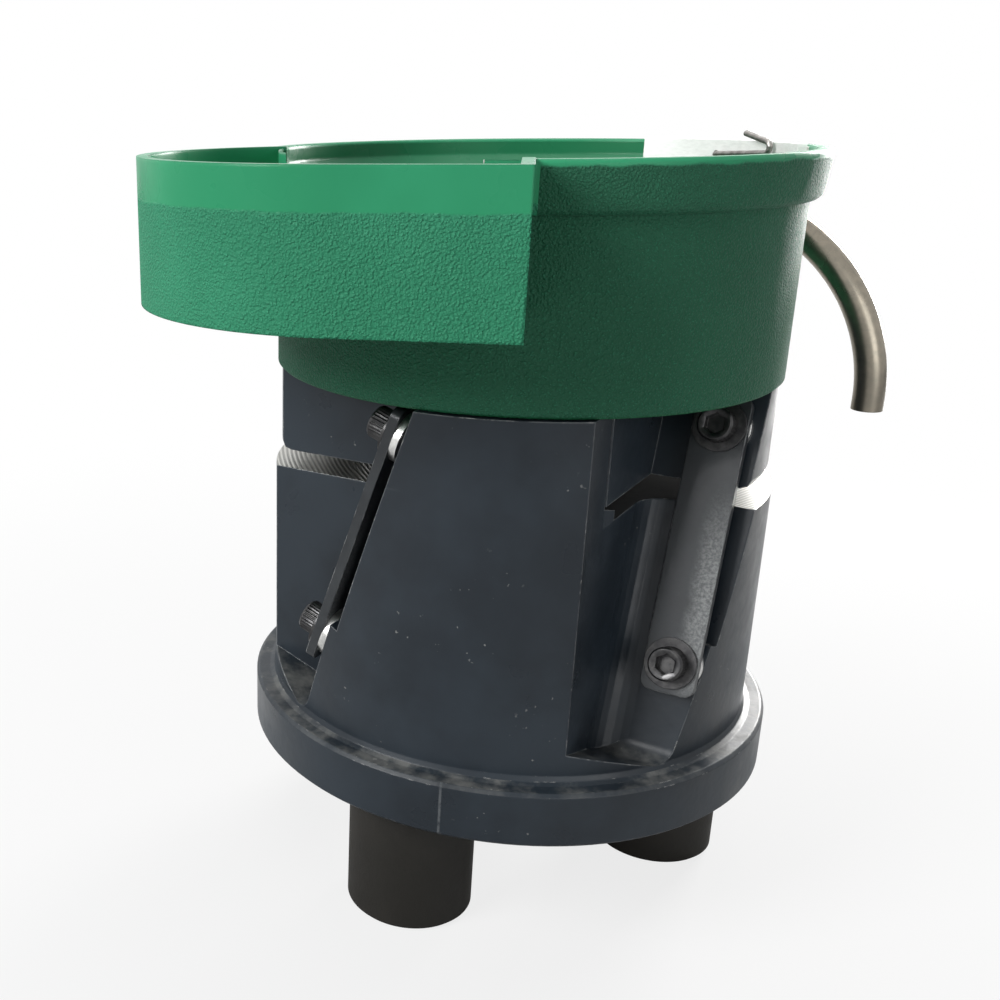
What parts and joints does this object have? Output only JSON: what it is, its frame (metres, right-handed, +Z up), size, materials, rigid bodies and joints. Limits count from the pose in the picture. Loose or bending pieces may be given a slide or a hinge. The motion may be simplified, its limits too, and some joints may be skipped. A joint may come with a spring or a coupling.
{
  "type": "vibratory bowl feeder",
  "caption": "Vibratory bowl feeder: coated bowl with outer return pan and bent discharge tube, on a leaf-spring electromagnetic drive with rubber feet.",
  "frame": {"origin": "on the floor, on the bowl's axis, at the centre of the three feet", "axes": "+Z up along the bowl's axis; +X to the side of the discharge tube; the return pan is towards -Y and -X"},
  "size_m": [0.2229, 0.2004, 0.2388],
  "materials": {
    "foot_rubber": "matt black",
    "zinc_steel": "zinc plated",
    "drive_paint": "semi-gloss slate grey",
    "gland_plastic": "matt black",
    "seal_rubber": "matt",
    "plain_steel": "plain",
    "black_steel": "black oxide",
    "core_steel": "varnished laminations",
    "bobbin_plastic": "moulded",
    "copper_wire": "enamelled copper",
    "spacer_metal": "bare",
    "spring_steel": "black",
    "bowl_coating": "green coating, hammered outside, smooth inside",
    "bare_aluminium": "milled",
    "wire_steel": "drawn",
    "tube_steel": "drawn stainless"
  },
  "bodies": {
    "base": {"foot_front": "foot_rubber", "foot_right": "foot_rubber", "foot_rear": "foot_rubber", "foot_studs": "zinc_steel", "foot_inserts": "zinc_steel", "base_casting": "drive_paint", "cable_gland": "gland_plastic", "gland_seal": "seal_rubber", "gland_nut": "gland_plastic", "magnet_bracket": "plain_steel", "bracket_screws": "black_steel", "magnet_core": "core_steel", "core_screws": "black_steel", "coil_bobbin": "bobbin_plastic", "coil_winding": "copper_wire", "lower_spacers": "spacer_metal", "lower_washers": "black_steel", "lower_spring_screws": "black_steel"},
    "springs": {"leaf_spring_1": "spring_steel", "leaf_spring_2": "spring_steel", "leaf_spring_3": "spring_steel", "leaf_spring_4": "spring_steel"},
    "top": {"upper_spacers": "spacer_metal", "upper_washers": "black_steel", "upper_spring_screws": "black_steel", "top_frame": "drive_paint", "armature_block": "plain_steel", "armature": "core_steel", "armature_screws": "black_steel", "bowl": "bowl_coating", "bowl_stud": "zinc_steel", "bowl_washer": "zinc_steel", "bowl_nut": "zinc_steel", "outlet_guide": "bare_aluminium", "guide_screws": "zinc_steel", "sweep_wire": "wire_steel", "discharge_tube": "tube_steel"}
  },
  "joints": [
    {"name": "lift", "type": "slide", "parent": "base", "child": "springs", "axis": [0, 0, 1], "range_m": [-0.00017, 0.00017], "stiffness_N_per_m": 5000, "deforming": ["leaf_spring_1", "leaf_spring_2", "leaf_spring_3", "leaf_spring_4"]},
    {"name": "twist", "type": "hinge", "parent": "springs", "child": "top", "pos_m": [0, 0, 0], "axis": [0, 0, 1], "range_deg": [-0.4, 0.4], "stiffness_Nm_per_rad": 1000}
  ],
  "couplings": [
    {"joint": "lift", "follows": "twist", "m_per_rad": -0.02189}
  ]
}
